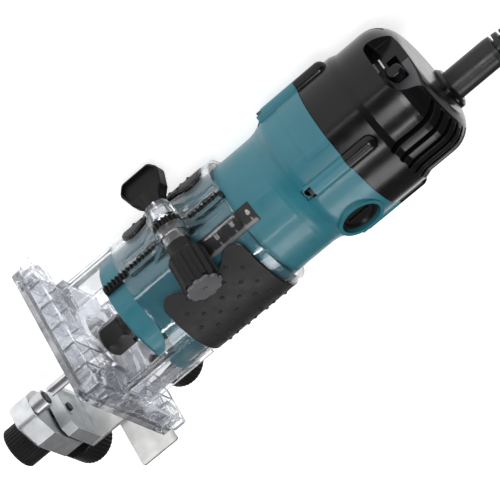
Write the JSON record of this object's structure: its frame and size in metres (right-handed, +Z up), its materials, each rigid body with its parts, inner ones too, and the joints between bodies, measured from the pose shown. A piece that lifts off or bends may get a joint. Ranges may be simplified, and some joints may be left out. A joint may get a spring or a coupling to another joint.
{
  "type": "trim router",
  "caption": "Compact corded trim router with a clear plastic base, rack depth adjustment and an edge-trimming roller guide, lying on its side with the cord coiled.",
  "frame": {"origin": "middle of the underside of the router without its cord, as it lies on its left side", "axes": "+X along the spindle towards the bit and guide, +Z up, -Y towards the tool's front with the clamp, scale and switch"},
  "size_m": [0.5252, 0.185, 0.089],
  "materials": {
    "clear_plastic": "clear moulded polycarbonate, gloss",
    "teal_plastic": "fine satin moulding texture",
    "black_gloss_plastic": "semi-gloss moulding",
    "black_plastic": "satin",
    "grip_rubber": "soft matte rubber with raised dots",
    "cord_rubber": "smooth",
    "grey_plastic": "satin",
    "scale_print": "black with fine white graduation",
    "steel": "bright",
    "zinc_steel": "zinc plated",
    "black_steel": "black oxide",
    "cast_alloy": "shot-blasted casting",
    "brass": "turned",
    "copper": "enamelled winding",
    "lamination": "stacked sheet",
    "carbon": "pressed carbon",
    "inner_plastic": "glass-filled moulding"
  },
  "bodies": {
    "base": {"base_body": "clear_plastic", "sole_plate": "clear_plastic", "sole_screws": "steel", "grip_left": "grip_rubber", "grip_right": "grip_rubber"},
    "wing": {"wing_paddle": "black_plastic", "clamp_bolt": "steel"},
    "depth_drive": {"pinion": "black_plastic", "depth_knob": "black_plastic", "knob_cap": "grey_plastic", "clamp_nut": "brass"},
    "motor": {"motor_housing": "teal_plastic", "rack": "black_plastic", "scale_plate": "scale_print", "rear_cover": "black_gloss_plastic", "cover_screws": "black_steel", "switch_body": "black_plastic", "brush_holders": "brass", "carbon_brushes": "carbon", "brush_springs": "steel", "brush_caps": "black_plastic", "end_bracket": "inner_plastic", "front_bearing": "steel", "rear_bearing": "steel", "bearing_retainer": "zinc_steel", "inner_screws": "steel", "stator_core": "lamination", "stator_coils": "copper", "cord_guard": "cord_rubber", "cord_clamp": "inner_plastic", "cord_lead": "cord_rubber", "cord_tail": "cord_rubber", "cord_coil": "cord_rubber", "cord_tie": "black_plastic", "plug_body": "cord_rubber", "plug_pins": "steel"},
    "switch": {"switch_slider": "black_gloss_plastic"},
    "spindle": {"spindle_shaft": "steel", "armature_core": "lamination", "armature_windings": "copper", "commutator": "copper", "fan": "inner_plastic", "collet_nut": "black_steel", "collet": "black_steel", "router_bit": "steel"},
    "guide": {"guide_arm": "zinc_steel", "fence_plate": "zinc_steel", "guide_rivets": "steel", "guide_bracket": "cast_alloy", "bracket_screws": "steel"},
    "holder": {"roller_holder": "cast_alloy", "roller_pin": "black_steel"},
    "roller": {"guide_roller": "steel", "roller_seal": "black_plastic"},
    "clamp_a": {"clamp_screw_a": "steel", "clamp_knob_a": "black_plastic"},
    "clamp_b": {"clamp_screw_b": "black_steel", "clamp_knob_b": "black_plastic"},
    "adjuster": {"adjusting_screw": "steel", "adjusting_knob": "black_plastic"}
  },
  "joints": [
    {"name": "depth_slide", "type": "slide", "parent": "base", "child": "motor", "axis": [-1, 0, 0], "range_m": [-0.003, 0.036]},
    {"name": "depth_knob_turn", "type": "hinge", "parent": "base", "child": "depth_drive", "pos_m": [0.02275, -0.05112, 0.0445], "axis": [0, 0, 1], "range_deg": [-35, 290]},
    {"name": "wing_turn", "type": "hinge", "parent": "base", "child": "wing", "pos_m": [0.02275, -0.05112, 0.0445], "axis": [0, 0, 1], "range_deg": [-270, 0]},
    {"name": "spindle_spin", "type": "hinge", "parent": "motor", "child": "spindle", "pos_m": [0.06955, -0.00613, 0.0445], "axis": [1, 0, 0], "continuous": true},
    {"name": "switch_slide", "type": "slide", "parent": "motor", "child": "switch", "axis": [0, 0, 1], "range_m": [-0.007, 0]},
    {"name": "guide_height_slide", "type": "slide", "parent": "base", "child": "guide", "axis": [-1, 0, 0], "range_m": [-0.015, 0.003]},
    {"name": "clamp_a_turn", "type": "hinge", "parent": "base", "child": "clamp_a", "pos_m": [0.08955, 0.04387, 0.0445], "axis": [0, 1, 0], "range_deg": [0, 360]},
    {"name": "adjuster_turn", "type": "hinge", "parent": "guide", "child": "adjuster", "pos_m": [0.15805, 0.04387, 0.0445], "axis": [0, 1, 0], "range_deg": [-1080, 1080]},
    {"name": "holder_slide", "type": "slide", "parent": "guide", "child": "holder", "axis": [0, 1, 0], "range_m": [-0.0025, 0.0025]},
    {"name": "clamp_b_turn", "type": "hinge", "parent": "guide", "child": "clamp_b", "pos_m": [0.16955, 0.01787, 0.0445], "axis": [1, 0, 0], "range_deg": [0, 360]},
    {"name": "roller_spin", "type": "hinge", "parent": "holder", "child": "roller", "pos_m": [0.14755, -0.00413, 0.0445], "axis": [1, 0, 0], "continuous": true}
  ],
  "couplings": [
    {"joint": "depth_knob_turn", "follows": "depth_slide", "rad_per_m": 138.89},
    {"joint": "holder_slide", "follows": "adjuster_turn", "m_per_rad": -0.00012732}
  ]
}
